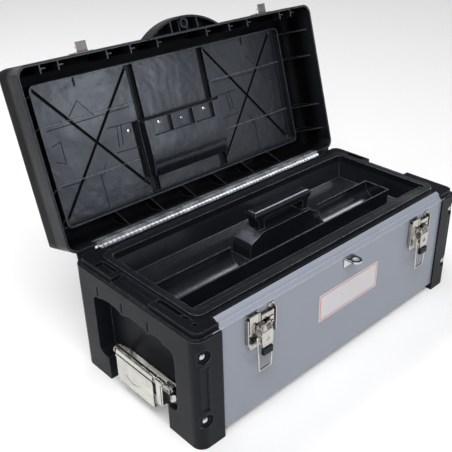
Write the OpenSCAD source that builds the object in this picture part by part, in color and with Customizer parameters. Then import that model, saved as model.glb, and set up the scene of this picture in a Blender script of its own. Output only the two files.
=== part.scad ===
// Hard tool case: painted steel wrap between two moulded plastic end caps, a hinged
// ribbed lid, a lift-out tote tray, two front draw latches and a coupling latch at each end.
// Millimetres. Origin at the bottom centre of the case, +X to the right, +Y to the back, +Z up.

/* [Case] */
// Overall length over the end caps
case_len = 580; // [540:2:620]
// Overall depth over the end caps
case_dep = 268; // [260:2:290]
// Height of the end caps' shoulder above the floor
shoulder_h = 176; // [168:1:190]
// Radius of the upright corners
corner_r = 16; // [12:1:20]
// Wall of the moulded plastic parts
wall = 3; // [2.4:0.1:3.4]
// Thickness of the steel sheet
sheet_t = 1.2; // [0.8:0.1:1.6]
// Height of the steel above the floor
foot_h = 12.5; // [10:0.5:16]
// Width of the end caps' front and back strips
strip_w = 43; // [38:1:48]
// How far the strips stand proud of the steel
strip_proud = 3.5; // [3:0.1:4.5]
// How far the steel is tucked under each strip
sheet_lap = 12; // [8:1:14]

/* [Top edge] */
// Height of the steel's rolled top edge
bead_h = 12.5; // [10:0.5:15]
// How far the steel leans inwards below its rolled edge
bead_lean = 5.5; // [4.5:0.5:7]
// Radius of the rolled edge
bead_r = 7; // [6:0.5:8]
// Height of the rim frame above the shoulder
rim_h = 9; // [7:0.5:10]
// Step from the end caps in to the rim frame
rim_step = 6; // [5:0.5:8]
// Depth of the rim frame below the shoulder
rim_drop = 6; // [4:0.5:10]
// How far the rim frame lies over the flange at the back
rim_back = 5; // [3:0.5:6]

/* [End caps] */
// Half width of the hand recess
recess_half = 90; // [80:1:94]
// Lower edge of the hand recess
recess_lo = 40; // [36:1:46]
// Upper edge of the hand recess, between its finger scallops
recess_hi = 142; // [130:1:143]
// Height of the finger scallops above that edge
scallop = 5.5; // [3:0.5:6]
// Distance from one finger scallop to the next
grip_pitch = 57; // [52:1:58]
// Depth of the hand recess
recess_dep = 26; // [22:1:28]
// Half width of the notch below the hand recess
notch_half = 69; // [66:1:72]
// Height of the lower rivet pocket
pocket_lo = 47; // [42:1:52]
// Height of the upper rivet pocket
pocket_hi = 151; // [140:1:154]
// Radius of a rivet pocket
pocket_r = 10.5; // [9:0.5:11.5]
// Depth of a rivet pocket
pocket_dep = 5; // [4:0.5:6]
// Distance of the rivets from the end of the case
rivet_inset = 13; // [12:0.5:15]

/* [Lid] */
// Height of the closed lid's mouth above the floor
mouth_gap = 3.4; // [3:0.1:5]
// Height of the lid from its mouth to its top
lid_h = 74.6; // [68:0.2:84]
// Rounding along the lid's top edges
lid_round = 22; // [16:1:26]
// Thickness of the lid's top
lid_top_t = 4; // [3.4:0.1:5]
// How far the lid stands open
lid_open = 105.8; // [90:0.2:110]
// Height of the inner ring rib
ring_h = 15; // [10:1:18]
// Thickness of the inner ring rib
ring_t = 2.5; // [2:0.1:3]
// Width of the lid's channel at the ends
channel_x = 33; // [28:1:36]
// Width of the lid's channel at the front
channel_f = 27; // [24:1:30]
// Width of the lid's channel at the back
channel_b = 19; // [16:1:22]
// Thickness of the cross ribs
rib_t = 2; // [1.6:0.1:2.6]
// Distance between the gussets along the back
rib_pitch = 68; // [64:1:72]
// Step in the lid's front lip, over the steel's rolled edge
lip_step = 3; // [2:0.5:4]
// How far the lid's back lips stand out, beside the hinge
lip_back = 11; // [9:0.5:12]
// How far the padlock nose stands out
nose_out = 23; // [20:1:26]
// Half length of the padlock nose
nose_half = 70; // [60:1:76]
// Height of the padlock nose
nose_h = 24; // [20:1:28]

/* [Handle well] */
// Half width of the handle well inside
well_half = 77; // [74:1:80]
// Front edge of the handle well, from the lid's middle
well_front = 9; // [8:0.5:11]
// Back edge of the handle well, from the lid's middle
well_back = 81; // [79:1:86]
// Depth of the well under the handle's pivot
well_dep = 13; // [12:0.5:14]
// Depth of the well under the grip
well_deep = 19.5; // [18:0.5:22]
// Half spacing of the pivot clips
clip_half = 48; // [46:1:50]
// Distance of the handle's pivot behind the lid's middle
pivot_back = 11; // [10:0.5:12]
// Length of the handle from pivot to grip
handle_len = 54; // [50:1:56]
// Radius of the handle's grip
grip_r = 7.5; // [7:0.5:8]
// Radius of the handle's pivot rods
rod_r = 4; // [3.5:0.1:4.2]
// Width of the handle's arms
arm_w = 8; // [6:0.5:9]

/* [Tote tray] */
// Distance of the tray's flange from the ends of the case
tray_end = 27; // [25:0.5:30]
// Distance of the tray's flange from the front and back of the case
tray_side = 29; // [28:0.5:32]
// Width of the tray's flange at the ends
flange_x = 10; // [9:0.5:12]
// Width of the tray's flange at the front and back
flange_y = 11.5; // [11:0.5:13]
// Thickness of the tray's flange
flange_t = 3.2; // [2.6:0.1:4]
// Depth of the tray below its flange
tray_deep = 37; // [30:1:44]
// Thickness of the tray's walls
tray_wall = 2.2; // [1.8:0.1:2.6]
// Distance of the trough's middle in front of the tray's middle
trough_mid = 19; // [15:1:23]
// Radius of the trough
trough_r = 23; // [20:0.5:25]
// Top of the trough's walls below the flange
trough_drop = 11.5; // [8:0.5:13]
// Height of the tray's grip above the flange
tray_grip_h = 29; // [26:1:34]
// Half length of the tray's grip
tray_grip_half = 62; // [56:1:66]

/* [Hinge] */
// Gap between the hinge and the end caps' strips
hinge_end = 3; // [2:0.5:15]
// Width of the case's leaf over the steel's flange
leaf_w = 3; // [2:0.5:3.5]
// Height of the case's leaf down the steel's back
leaf_down = 14; // [10:1:18]
// Number of knuckles
knuckles = 31; // [21:2:41]
// Radius of a knuckle
knuckle_r = 3; // [2.8:0.1:3.4]
// Radius of the hinge pin
pin_r = 1.5; // [1.2:0.1:1.7]
// Thickness of the hinge leaves
leaf_t = 1.2; // [0.9:0.1:1.3]
// Height of the lid's leaf along its back wall
leaf_h = 16; // [12:1:20]
// Gap between the lid's back face and the knuckles
knuckle_gap = 1; // [0.8:0.1:2]

/* [Front latches] */
// Distance of each latch from the middle
latch_x = 180; // [150:1:200]
// Width of the latch's base plate
latch_w = 52; // [50:1:56]
// Height of the base plate's lower edge
latch_lo = 116; // [110:1:120]
// Height of the base plate's upper edge
latch_hi = 174; // [171:1:175]
// Height of the lever's pivot
lever_z = 152; // [150:1:154]
// Distance of the lever's pivot from the steel
lever_y = 8; // [7.6:0.1:9]
// Half width of the lever
lever_half = 9.7; // [9:0.1:10]
// Height of the lower end of the lever's tip
tip_z = 111; // [107:1:114]
// Length of the lever's tip
tip_h = 10; // [8:0.5:12]
// Half width of the lever's tip
tip_half = 8.4; // [8:0.1:9]
// Drop from the lever's pivot to the bail's pivot
bail_drop = 14; // [13:0.5:15]
// Radius of the bail's wire
wire_r = 1.4; // [1.2:0.1:1.5]
// Half spacing of the bail's legs at their pivots
bail_half = 14.2; // [14:0.1:15]
// Half spacing of the bail's legs at its bar
bail_tip = 11; // [10.8:0.1:13]
// Height of the keeper's seat above the lid's mouth
keeper_up = 12.6; // [11:0.2:14]
// Half width of the keeper's plate
keeper_half = 14; // [12:0.5:16]
// How far the keeper's hook stands out past its lip
keeper_out = 7; // [4:0.5:8]

/* [Side latches] */
// Height of the side latch's rod
side_z = 70; // [66:1:74]
// Radius of the side latch's rod
side_rod_r = 2.5; // [2.2:0.1:2.8]
// Length of the cover plate
cover_len = 84; // [76:1:88]
// Height of the cover plate
cover_h = 52; // [46:1:54]
// Back end of the cover plate
cover_back = 44; // [40:1:46]
// Front end of the side latch's rod
side_front = 78; // [76:1:82]
// Length of the hook beside the cover plate
hook_len = 14; // [12:1:16]
// Thickness of the side latch's bracket
bracket_t = 1.5; // [1.2:0.1:2]

/* [Padlock eye] */
// Outer radius of the eye
eye_r = 9; // [8:0.5:10]
// Radius of the eye's hole
eye_hole = 5; // [4:0.1:5.5]
// Thickness of the eye
eye_t = 3; // [2.5:0.1:3.5]
// Distance of the hole from the steel
eye_out = 15; // [14:0.5:17]
// Height of the eye's foot on the steel
eye_foot = 17; // [12:1:22]

/* [Clearances] */
// Running gap between moving parts
gap = 0.3; // [0.3:0.05:0.5]
// Radial gap of pins in their bores
fit = 0.06; // [0.03:0.01:0.1]
// Free space round the tote tray in its frame
tray_gap = 1.5; // [1:0.1:2.5]

/* [Hidden] */
$fn = 48;

half_len = case_len / 2;
half_dep = case_dep / 2;
tray_len = case_len - 2 * tray_end;
tray_dep = case_dep - 2 * tray_side;
steel_y = half_dep - strip_proud;
strip_x = half_len - strip_w;
hinge_len = 2 * (strip_x - hinge_end);
rim_top = shoulder_h + rim_h;
rim_mid_y = steel_y - bead_lean - bead_r;
mouth_z = shoulder_h + mouth_gap;
lid_top = mouth_z + lid_h;
lid_floor = lid_top - lid_top_t;
ring_x = half_len - wall - channel_x;
ring_front = half_dep - wall - channel_f;
ring_back = half_dep - wall - channel_b;
hinge_y = half_dep + knuckle_gap + knuckle_r;
hinge_z = shoulder_h + leaf_t + (mouth_gap - 2 * leaf_t) / 2;
recess_x = half_len - recess_dep;
pocket_x = half_len - rivet_inset;
// Place of the middle slot over the hand recess
grip_mark = 19.5;
tray_in_x = tray_len / 2 - flange_x;
tray_in_y = tray_dep / 2 - flange_y;
tray_out_x = tray_in_x + tray_wall;
tray_out_y = tray_in_y + tray_wall;
tray_z = rim_top + gap;
tray_top = tray_z + flange_t;
tray_floor = tray_z - tray_deep;
trough_top = tray_top - trough_drop;
lever_py = -steel_y - lever_y;
bail_py = lever_py - 3;
bail_pz = lever_z - bail_drop;
keeper_z = mouth_z + keeper_up;
bar_y = -half_dep - 5.5;
bail_len = sqrt(pow(bar_y - bail_py, 2) + pow(keeper_z - bail_pz, 2));
side_x = half_len - 2;
pivot_z = lid_top - well_dep + rod_r + gap;

// ---- shared outlines ----

module rrect(w, d, r) {
    square([w - 2 * r, d], center = true);
    square([w, d - 2 * r], center = true);
    for (x = [-1, 1], y = [-1, 1])
        translate([x * (w / 2 - r), y * (d / 2 - r)]) circle(r);
}

// A box given by its two opposite corners.
module box(lo, hi) {
    translate(lo) cube([hi[0] - lo[0], hi[1] - lo[1], hi[2] - lo[2]]);
}

// A YZ outline drawn out along X, centred.
module along_x(len) {
    rotate([90, 0, 90]) linear_extrude(len, center = true) children();
}

// An XZ outline drawn out along Y, centred.
module along_y(len) {
    rotate([90, 0, 0]) linear_extrude(len, center = true) children();
}

// Both halves of something symmetrical about the middle of the length.
module both() {
    children();
    mirror([1, 0, 0]) children();
}

// A rivet with a domed head on +Z.
module rivet(r, h) {
    intersection() {
        translate([0, 0, h - r * 1.4]) sphere(r * 1.4);
        cylinder(h = h, r = r);
    }
}

// Turns lid geometry, drawn closed, into the open position.
module lid_pose() {
    translate([0, hinge_y, hinge_z]) rotate([-lid_open, 0, 0])
        translate([0, -hinge_y, -hinge_z]) children();
}

// ---- case body ----

module steel_outline() {
    y = steel_y;
    t = sheet_t;
    z0 = foot_h;
    z1 = shoulder_h;
    polygon([[-y, z0], [y, z0], [y, z1], [y - t, z1], [y - t, z0 + t],
        [-y + t, z0 + t], [-y + t, z1], [-y, z1]]);
}

// Flange along the back that the hinge is fixed to.
module flange_outline() {
    translate([rim_mid_y, shoulder_h - sheet_t])
        square([steel_y - rim_mid_y, sheet_t]);
}

// The top of the front: a leaning strip, a crease, and a quarter of a round roll.
module bead_outline() {
    y = steel_y;
    t = sheet_t;
    z1 = shoulder_h;
    mid_z = z1 + bead_h - bead_r;
    polygon([[-y, z1], [-y + bead_lean, mid_z], [-y + bead_lean + t, mid_z], [-y + t, z1]]);
    translate([-rim_mid_y, mid_z]) intersection() {
        difference() {
            circle(bead_r);
            circle(bead_r - t);
        }
        translate([-bead_r, 0]) square(bead_r);
    }
}

module steel_wrap() {
    color("lightslategray") {
        along_x(2 * (strip_x + sheet_lap)) steel_outline();
        along_x(2 * strip_x) {
            bead_outline();
            flange_outline();
        }
    }
}

module cap_plan(inset) {
    intersection() {
        rrect(case_len - 2 * inset, case_dep - 2 * inset, corner_r - inset);
        translate([-half_len, -half_dep]) square([strip_w, case_dep]);
    }
}

module recess_outline(grow) {
    y = recess_half + grow;
    translate([0, (recess_lo + recess_hi) / 2])
        rrect(2 * y, recess_hi - recess_lo + 2 * grow, 12 + grow);
    // finger scallops along the upper edge, the last one shorter
    for (k = [0, 1]) translate([grip_mark + (k - 0.5) * grip_pitch, recess_hi])
        scallop_outline(grip_pitch / 2 - 2);
    translate([grip_mark - grip_pitch - 17.5, recess_hi]) scallop_outline(16);
}

// The piece of a circle that stands above a chord.
module scallop_outline(half) {
    r = (pow(half, 2) + pow(scallop, 2)) / (2 * scallop);
    intersection() {
        translate([0, scallop - r]) circle(r, $fn = 96);
        translate([-half, -1]) square([2 * half, scallop + 2]);
    }
}

// Recesses for the rivets on one face of the cap's corner, and the shallow panel between them.
module corner_pockets() {
    for (z = [pocket_lo, pocket_hi])
        translate([-pocket_x, -half_dep + pocket_dep, z]) rotate([90, 0, 0]) {
            cylinder(h = 2 * pocket_dep, r = pocket_r);
            translate([-2 * pocket_r, -pocket_r * 0.8, 0])
                cube([2 * pocket_r, pocket_r * 1.6, 2 * pocket_dep]);
        }
    box([-half_len - 1, -half_dep - 1, pocket_lo + pocket_r + 5],
        [-half_len + rivet_inset + 7, -half_dep + 2.5, pocket_hi - pocket_r - 5]);
}

module end_cap() {
    inner_x = half_len - strip_proud;
    column_x = strip_x + sheet_lap + 1.5;
    column_y = half_dep - pocket_dep - 7;
    difference() {
        linear_extrude(shoulder_h) cap_plan(0);
        // room inside, open towards the case
        difference() {
            translate([0, 0, foot_h]) linear_extrude(shoulder_h) cap_plan(strip_proud);
            box([-half_len, -recess_half - wall, 0],
                [-recess_x + wall, recess_half + wall, recess_hi + scallop + wall]);
            for (s = [-1, 1])
                translate([-half_len, s * (half_dep + column_y) / 2 - (half_dep - column_y) / 2, 0])
                    cube([half_len - column_x, half_dep - column_y, pocket_hi + pocket_r + 5]);
        }
        // hand recess, and the notch that opens it downwards
        translate([-half_len + recess_dep / 2, 0, 0]) intersection() {
            along_x(recess_dep) recess_outline(0);
            cube([recess_dep, case_dep, 4 * shoulder_h], center = true);
        }
        box([-half_len - 1, -notch_half, -1], [-recess_x, notch_half, recess_lo + 12]);
        // underside between the feet
        box([-recess_x + wall, -notch_half, -1], [-strip_x + 1, notch_half, foot_h - wall - 1]);
        corner_pockets();
        mirror([0, 1, 0]) corner_pockets();
        // three witness slots over the hand recess
        for (k = [-1 : 1]) translate([0, grip_mark + k * grip_pitch, 0])
            box([-half_len - 1, -1, recess_hi + 3.5], [-half_len + 1.2, 1, recess_hi + 18]);
    }
}

module end_cap_left() {
    color([0.09, 0.09, 0.1]) end_cap();
}

module end_cap_right() {
    color([0.09, 0.09, 0.1]) mirror([1, 0, 0]) end_cap();
}

module cap_rivets() {
    head_h = 3;
    color("silver") both() for (s = [-1, 1], z = [pocket_lo, pocket_hi])
        translate([-pocket_x, s * (half_dep - pocket_dep), z])
            rotate([s > 0 ? -90 : 90, 0, 0]) rivet(4.5, head_h);
}

// Recesses in the top of one end of the rim frame.
module rim_pockets() {
    out_x = -half_len + rim_step + 2.5;
    in_x = -tray_len / 2 - 3;
    z0 = rim_top - 7;
    z1 = rim_top + 1;
    box([out_x, half_dep - 77, z0], [in_x, half_dep - 41, z1]);
    box([in_x - 8, -half_dep + 52, z0], [in_x, -half_dep + 96, z1]);
    box([in_x - 7, -half_dep + 21, z0], [in_x - 1, -half_dep + 27, z1]);
    // wide cut-out with a sloping floor
    translate([0, 6, 0]) along_y(83)
        polygon([[-half_len, z1], [-half_len, z0], [in_x - 5, z0], [in_x, z0 + 4], [in_x, z1]]);
    // three-cornered pocket in the corner's curve
    translate([0, 0, z0]) linear_extrude(9)
        polygon([[in_x, -half_dep + 48], [in_x - 7, -half_dep + 48], [in_x, -half_dep + 32]]);
}

module rim_frame() {
    open_x = tray_out_x + tray_gap;
    open_y = tray_out_y + tray_gap;
    end_y = half_dep - rim_step;
    groove_x = strip_x - 2;
    color([0.08, 0.08, 0.09]) difference() {
        union() {
            // raised rim: full depth at the ends, behind the steel's edge between them
            translate([0, 0, shoulder_h]) linear_extrude(rim_h) {
                square([2 * strip_x + 2, 2 * rim_mid_y - 2 * gap], center = true);
                translate([-strip_x - 1, 0]) square([2 * strip_x + 2, rim_mid_y + rim_back]);
                difference() {
                    rrect(case_len - 2 * rim_step, 2 * end_y, corner_r - rim_step + 2);
                    square([2 * strip_x, case_dep], center = true);
                }
            }
            // flange that lies between the caps' walls and inside the steel
            translate([0, 0, shoulder_h - rim_drop]) linear_extrude(rim_drop) {
                square([2 * strip_x + 2, 2 * rim_mid_y - 2 * gap], center = true);
                difference() {
                    rrect(2 * (half_len - strip_proud), 2 * steel_y - 2 * sheet_t - gap,
                        corner_r - strip_proud + 1);
                    square([2 * strip_x, case_dep], center = true);
                }
            }
            // lip behind the steel's rolled edge
            box([-strip_x, -rim_mid_y + gap, rim_top - 1],
                [strip_x, -rim_mid_y + 2.5, shoulder_h + bead_h - sheet_t]);
            // seats beside the latches
            for (s = [-1, 1])
                box([s * (latch_x + 27) - 32, -rim_mid_y + 4, rim_top - 1],
                    [s * (latch_x + 27) + 32, -rim_mid_y + 9, rim_top + 2]);
        }
        translate([0, 0, shoulder_h - rim_drop - 1]) linear_extrude(rim_h + rim_drop + 9)
            rrect(2 * open_x, 2 * open_y, 10);
        both() rim_pockets();
        // gutters along the front, where the seats interrupt it, and along the back
        translate([0, -rim_mid_y + 5, rim_top + 3]) difference() {
            cube([2 * groove_x, 4, 14], center = true);
            for (k = [-1, 1])
                translate([k * (latch_x + 27), 0, 0]) cube([64, 6, 20], center = true);
        }
        box([-groove_x, rim_mid_y + rim_back - 10, rim_top - 4],
            [groove_x, rim_mid_y + rim_back - 2.5, rim_top + 1]);
    }
}

// ---- hinge ----

module knuckle_row(first) {
    pitch = hinge_len / knuckles;
    for (i = [first : 2 : knuckles - 1])
        translate([-hinge_len / 2 + (i + 0.5) * pitch, hinge_y, hinge_z]) rotate([0, 90, 0])
            cylinder(h = pitch - gap, r = knuckle_r, center = true);
}

// Room cut in a leaf for the other leaf's knuckles.
module knuckle_room(first) {
    pitch = hinge_len / knuckles;
    for (i = [first : 2 : knuckles - 1])
        translate([-hinge_len / 2 + (i + 0.5) * pitch, hinge_y, hinge_z])
            cube([pitch + gap, 2 * (knuckle_r + gap), 2 * (knuckle_r + gap)], center = true);
}

module hinge_bore(extra) {
    translate([0, hinge_y, hinge_z]) rotate([0, 90, 0])
        cylinder(h = hinge_len + 2, r = pin_r + extra, center = true);
}

module hinge_case_leaf() {
    color("gainsboro") difference() {
        union() {
            box([-hinge_len / 2, steel_y - leaf_w, shoulder_h],
                [hinge_len / 2, hinge_y, shoulder_h + leaf_t]);
            box([-hinge_len / 2, steel_y, shoulder_h - leaf_down],
                [hinge_len / 2, steel_y + leaf_t, shoulder_h + leaf_t]);
            knuckle_row(0);
        }
        knuckle_room(1);
        hinge_bore(0.02);
    }
}

module hinge_lid_leaf() {
    z1 = mouth_z;
    z0 = mouth_z - leaf_t;
    y0 = half_dep - wall - leaf_t;
    color("gainsboro") lid_pose() difference() {
        union() {
            box([-hinge_len / 2, y0, z0], [hinge_len / 2, hinge_y, z1]);
            box([-hinge_len / 2, y0, z0], [hinge_len / 2, y0 + leaf_t, z1 + leaf_h]);
            knuckle_row(1);
        }
        knuckle_room(0);
        hinge_bore(fit);
    }
}

module hinge_pin() {
    color("silver") hinge_bore(0);
}

// ---- padlock eye ----

module padlock_eye() {
    z = shoulder_h - eye_t;
    color("silver") difference() {
        union() {
            translate([0, -steel_y - eye_out, z]) cylinder(h = eye_t, r = eye_r);
            box([-eye_r, -steel_y - eye_out, z], [eye_r, -steel_y, z + eye_t]);
            box([-eye_r, -steel_y - 1.5, z + eye_t - eye_foot], [eye_r, -steel_y, z + eye_t]);
        }
        translate([0, -steel_y - eye_out, z - 1]) cylinder(h = eye_t + 2, r = eye_hole);
    }
}

// ---- front latches, drawn at the middle and moved out ----

module latch_base() {
    plate_t = 1.5;
    front = -steel_y - plate_t;
    ear_x = lever_half + 0.6;
    house_t = 4;
    color("silver") difference() {
        union() {
            translate([0, front + plate_t / 2, 0]) along_y(plate_t) latch_plate_outline();
            // stiffening flange along each side
            both() box([-latch_w / 2, front - 5, latch_lo + 14],
                [-latch_w / 2 + plate_t, front, latch_hi - 5]);
            // ears that carry the lever's pin
            both() {
                box([-ear_x - 1.2, lever_py, lever_z - 5], [-ear_x, front, lever_z + 5]);
                translate([-ear_x - 1.2, lever_py, lever_z]) rotate([0, 90, 0])
                    cylinder(h = 1.2, r = 5);
            }
            // pressed housings above and beside the lever, with folds across the right one
            translate([0, front - house_t / 2, 0]) along_y(house_t) latch_house_outline(ear_x + 2);
            for (z = [latch_hi - 27, latch_hi - 19])
                box([ear_x + 3, front - house_t - 1, z], [latch_w / 2 - 5, front - house_t, z + 2.4]);
            // wire soldered to the left housing's edge
            translate([-4.5, front - house_t, lever_z + 7.5]) cylinder(h = latch_hi - lever_z - 9, r = 1.3);
        }
        translate([0, lever_py, lever_z]) rotate([0, 90, 0])
            cylinder(h = 4 * lever_half, r = 2.02, center = true);
    }
}

// The base plate seen from the front: cut-off lower corners and a notch in the top edge.
module latch_plate_outline() {
    w = latch_w / 2;
    polygon([[-w, latch_hi], [-4, latch_hi], [-2, latch_hi - 7], [14, latch_hi - 7],
        [17, latch_hi], [w, latch_hi], [w, latch_lo + 14], [w - 9, latch_lo],
        [-w + 9, latch_lo], [-w, latch_lo + 14]]);
}

module latch_house_outline(side) {
    w = latch_w / 2 - 4;
    low = latch_hi - 28;
    mid = lever_z + 6.5;
    polygon([[-w, latch_hi - 2], [-5, latch_hi - 2], [-4, mid], [-side, mid], [-side, low],
        [-w, low]]);
    polygon([[-1, latch_hi - 8.5], [w, latch_hi - 8.5], [w, low], [side, low], [side, mid],
        [-1, mid]]);
}

module latch_pin() {
    color("gray") translate([0, lever_py, lever_z]) rotate([0, 90, 0])
        cylinder(h = 2 * (lever_half + 1.8), r = 2, center = true);
}

module lever() {
    side_t = 1.2;
    face = lever_py - 7.6;
    color("gainsboro") difference() {
        union() {
            both() translate([-lever_half + side_t / 2, 0, 0]) along_x(side_t) lever_side_flat();
            translate([0, face + side_t / 2, 0]) along_y(side_t) lever_face_outline();
        }
        translate([0, lever_py, lever_z]) rotate([0, 90, 0])
            cylinder(h = 4 * lever_half, r = 2 + fit, center = true);
        translate([0, bail_py, bail_pz]) rotate([0, 90, 0])
            cylinder(h = 4 * lever_half, r = wire_r + fit, center = true);
        // window in the lever's face
        translate([0, face, lever_z - 17]) rotate([90, 0, 0])
            cylinder(h = 6, r = 3.5, center = true);
    }
}

// The lever's side outline, with arcs round both pivots.
module lever_side_flat() {
    face = lever_py - 7.6;
    low = bail_pz - 8;
    translate([lever_py, lever_z]) circle(5.3);
    translate([bail_py, bail_pz]) circle(4.4);
    polygon([[lever_py - 5, lever_z], [face, lever_z - 5], [face, low],
        [face + 4, low], [bail_py + 4, bail_pz], [lever_py + 5.3, lever_z]]);
}

// The lever's face, which narrows to its tip.
module lever_face_outline() {
    neck = tip_half - 0.6;
    top = lever_z - 5;
    low = bail_pz - 8;
    tip_top = tip_z + tip_h + 1;
    polygon([[-lever_half, top], [lever_half, top], [lever_half, low], [neck, tip_top],
        [neck, tip_z + 4], [-neck, tip_z + 4], [-neck, tip_top], [-lever_half, low]]);
}

module lever_tip() {
    face = lever_py - 7.6;
    neck = tip_half - 0.6;
    color([0.08, 0.08, 0.09]) difference() {
        box([-tip_half, face - 2, tip_z], [tip_half, face + 3.4, tip_z + tip_h]);
        box([-neck, face, tip_z + 4], [neck, face + 1.2, tip_z + tip_h + 1]);
    }
}

// A wire bail, hanging straight down from its pivot, its legs closer together at the bar.
module bail() {
    y = bail_py;
    z0 = bail_pz - bail_len;
    draw_in = bail_half - bail_tip;
    bend_r = wire_r + 0.15;
    color("silver") {
        both() {
            translate([-bail_half, y, bail_pz]) sphere(bend_r);
            translate([-bail_tip, y, z0]) sphere(bend_r);
            translate([-bail_half, y, bail_pz]) rotate([0, 180 - atan2(draw_in, bail_len), 0])
                cylinder(h = sqrt(pow(bail_len, 2) + pow(draw_in, 2)), r = wire_r);
            translate([-bail_half, y, bail_pz]) rotate([0, 90, 0])
                cylinder(h = bail_half - lever_half + 3, r = wire_r);
        }
        translate([0, y, z0]) rotate([0, 90, 0])
            cylinder(h = 2 * bail_tip, r = wire_r, center = true);
    }
}

module latch_rivets() {
    color("silver") both() for (x = [-1, 1], z = [latch_lo + 8, latch_hi - 32.5])
        translate([latch_x + x * (latch_w / 2 - 9), -steel_y - 1.5, z])
            rotate([90, 0, 0]) rivet(2.8, 1.6);
}

// Keeper on the closed lid's front face: a plate, and a hook with an upturned lip that the
// bail's bar drops behind. The hook fits between the bail's legs.
module keeper() {
    t = 1.5;
    half = bail_tip - wire_r - 1;
    y = -half_dep;
    lip = bar_y - wire_r - 0.9;
    seat = keeper_z - wire_r - gap;
    box([-keeper_half, y - t, seat - 7], [keeper_half, y, seat + 14]);
    box([-half, lip - t - keeper_out, seat - t], [half, y, seat]);
    box([-half, lip - t, seat - t], [half, lip, seat + 4]);
}

module lid_keepers() {
    color("silver") lid_pose() both() translate([latch_x, 0, 0]) keeper();
}

module keeper_rivets() {
    color("silver") lid_pose() both() for (x = [-6, 6])
        translate([latch_x + x, -half_dep - 1.5, keeper_z + 7.5])
            rotate([90, 0, 0]) rivet(2.6, 1.3);
}

// ---- side latches, drawn for the left end ----

module side_bracket() {
    plate_x = -recess_x - bracket_t;
    plate_top = side_z - 16;
    ear_r = side_rod_r + 3.5;
    color("silver") difference() {
        union() {
            box([plate_x, -side_front - bracket_t, recess_lo + gap],
                [-recess_x, cover_back + bracket_t + 1, plate_top]);
            box([plate_x, -notch_half + 3, side_z - 47],
                [-recess_x, cover_back + bracket_t + 1, recess_lo + 1]);
            for (y = [-side_front - bracket_t, cover_back + 1]) {
                translate([0, y + bracket_t / 2, 0]) along_y(bracket_t)
                    polygon([[-side_x, side_z + ear_r], [-side_x + 4, side_z + ear_r],
                        [-recess_x, plate_top], [-recess_x, recess_lo + 2],
                        [-side_x, side_z - ear_r]]);
                translate([-side_x, y + bracket_t, side_z]) rotate([90, 0, 0])
                    cylinder(h = bracket_t, r = ear_r);
            }
            // rounded lug that stands behind the hook's end
            translate([-side_x + side_rod_r + 1.5 + bracket_t / 2,
                -side_front - bracket_t + 9, side_z - 11]) along_x(bracket_t) rrect(18, 34, 5);
        }
        side_axis(side_front + cover_back + 20, side_rod_r + 0.02);
    }
}

module side_axis(len, r) {
    translate([-side_x, (cover_back - side_front) / 2, side_z]) rotate([90, 0, 0])
        cylinder(h = len, r = r, center = true);
}

module side_rod() {
    color("silver") side_axis(side_front + cover_back + 5, side_rod_r);
}

module side_cover() {
    t = 1.5;
    r = side_rod_r + 1.7;
    x = -side_x - r;
    front = cover_back - cover_len;
    color("gainsboro") difference() {
        union() {
            box([x, front, side_z - cover_h], [x + t, cover_back, side_z]);
            translate([-side_x, cover_back, side_z]) rotate([90, 0, 0])
                cylinder(h = cover_len, r = r);
            // hem along the lower edge
            box([x, front, side_z - cover_h], [x + 5, cover_back, side_z - cover_h + t]);
            // folded ridge below the knuckle
            box([x - 1, front, side_z - 9], [x, cover_back, side_z - 6]);
        }
        side_axis(2 * case_dep, side_rod_r + fit);
        // pressed thumb arc
        translate([x - 1, (front + cover_back) / 2 + 4, side_z - cover_h + 36])
            rotate([0, 90, 0]) difference() {
                cylinder(h = 1.5, r = 24);
                translate([0, 0, -1]) cylinder(h = 4, r = 22.6);
                translate([-30, -30, -1]) cube([46, 60, 4]);
            }
    }
}

module side_hook() {
    r = side_rod_r + 1.7;
    y1 = cover_back - cover_len - 6;
    y0 = y1 - hook_len;
    t = 1.5;
    x = -side_x - r;
    color("silver") difference() {
        union() {
            translate([-side_x, y1, side_z]) rotate([90, 0, 0]) cylinder(h = y1 - y0, r = r);
            box([x, y0 + 3, side_z - 38], [x + t, y1 - 3, side_z]);
            box([x, y0 + 3, side_z - 38], [x + 8, y1 - 3, side_z - 38 + t]);
            for (y = [y0 + 1.5, y1 - 1.5])
                translate([x + 1.4, y, side_z - 36]) cylinder(h = 36, r = 1.2);
        }
        side_axis(2 * case_dep, side_rod_r + fit);
    }
}

// ---- lid ----

module lid_blank(inset, top) {
    w = case_len - 2 * inset;
    d = case_dep - 2 * inset;
    h = top - mouth_z;
    r = lid_round - inset;
    intersection() {
        translate([0, 0, mouth_z - 1]) linear_extrude(h + 2)
            rrect(w, d, corner_r - inset / 2);
        along_y(case_dep) dome_outline(w, h, r);
        along_x(case_len) dome_outline(d, h, r);
    }
}

// A box outline standing on the lid's mouth, with its two upper corners rounded.
module dome_outline(w, h, r) {
    translate([-w / 2, mouth_z]) square([w, h - r]);
    translate([-w / 2 + r, mouth_z]) square([w - 2 * r, h]);
    for (s = [-1, 1]) translate([s * (w / 2 - r), mouth_z + h - r]) circle(r);
}

module ring_plan(inset) {
    translate([0, (ring_back - ring_front) / 2])
        rrect(2 * (ring_x - inset), ring_front + ring_back - 2 * inset, 9 - inset);
}

// One raised band on the lid's top, with the groove that forms it inside.
module band_outline(x0, x1, h, grow) {
    polygon([[x0 - grow - 1, lid_top - 1], [x0 - grow + 1.5, lid_top + h],
        [x1 + grow - 1.5, lid_top + h], [x1 + grow + 1, lid_top - 1]]);
}

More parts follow.
